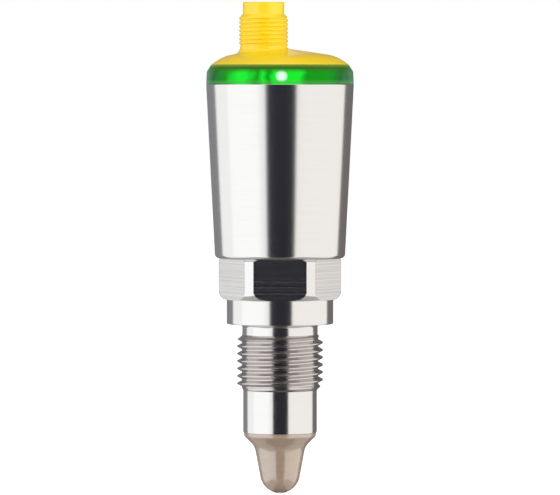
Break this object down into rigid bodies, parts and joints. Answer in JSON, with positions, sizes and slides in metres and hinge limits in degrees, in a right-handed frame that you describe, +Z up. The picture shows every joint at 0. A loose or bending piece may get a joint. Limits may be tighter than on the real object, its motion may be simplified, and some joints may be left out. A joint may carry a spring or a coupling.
{
  "type": "capacitive level switch",
  "caption": "Rod-shaped level switch: tapered steel housing, lit ring, off-centre plug sleeve on a low cap, wrench hexagon, process thread and plastic sensing tip.",
  "frame": {"origin": "on the sensor's axis in the plane of the collar's sealing face, where a sealing ring or the vessel's boss meets it", "axes": "+Z up along the axis, from the sensing tip towards the plug sleeve; the plug sleeve stands 4 mm off the axis towards -X; one flat of the hexagon faces -Y"},
  "size_m": [0.036, 0.036, 0.1198],
  "materials": {
    "fitting_steel": "fine turned stainless steel, brushed on the hexagon's flats",
    "shell_steel": "fine turned stainless steel, close to mirror bright",
    "ring_green": "clear plastic lit green from inside",
    "cap_yellow": "moulded yellow plastic, half gloss",
    "tip_plastic": "turned beige high-temperature plastic, fine satin",
    "insert_black": "moulded black plastic",
    "contact_gold": "gold-plated contact",
    "board_green": "lacquered circuit board",
    "flex_amber": "amber flexible circuit",
    "lamp_clear": "clear lamp body",
    "carrier_grey": "glass-filled moulded plastic",
    "tinned_sheet": "tinned sheet",
    "chip_black": "moulded chip body",
    "ferrite": "pressed ferrite",
    "capacitor_tan": "fired ceramic",
    "resistor_black": "glazed chip resistor",
    "spring_bronze": "rolled spring bronze",
    "electrode_brass": "turned brass",
    "insulator_white": "white insulating plastic",
    "fastener_steel": "plain stainless fastener",
    "seal_rubber": "black seal rubber"
  },
  "bodies": {
    "root": {"process_fitting": "fitting_steel", "housing_shell": "shell_steel", "light_ring": "ring_green", "end_cap": "cap_yellow", "sensor_tip": "tip_plastic", "contact_insert": "insert_black", "plug_contacts": "contact_gold", "connector_board": "board_green", "flex_link": "flex_amber", "led_board": "board_green", "leds": "lamp_clear", "board_carrier": "carrier_grey", "main_board": "board_green", "screening_can": "tinned_sheet", "controller_chip": "chip_black", "regulator_chip": "chip_black", "inductor": "ferrite", "capacitors": "capacitor_tan", "resistors": "resistor_black", "electrode_socket": "contact_gold", "guard_clip": "spring_bronze", "ground_spring": "spring_bronze", "measuring_electrode": "electrode_brass", "guard_tube": "electrode_brass", "insulating_sleeve": "insulator_white", "spring_washer": "fastener_steel", "tip_nut": "fastener_steel", "tip_seal": "seal_rubber", "shell_seal": "seal_rubber", "ring_seal": "seal_rubber", "cap_seal": "seal_rubber", "insert_seal": "seal_rubber"}
  },
  "joints": []
}
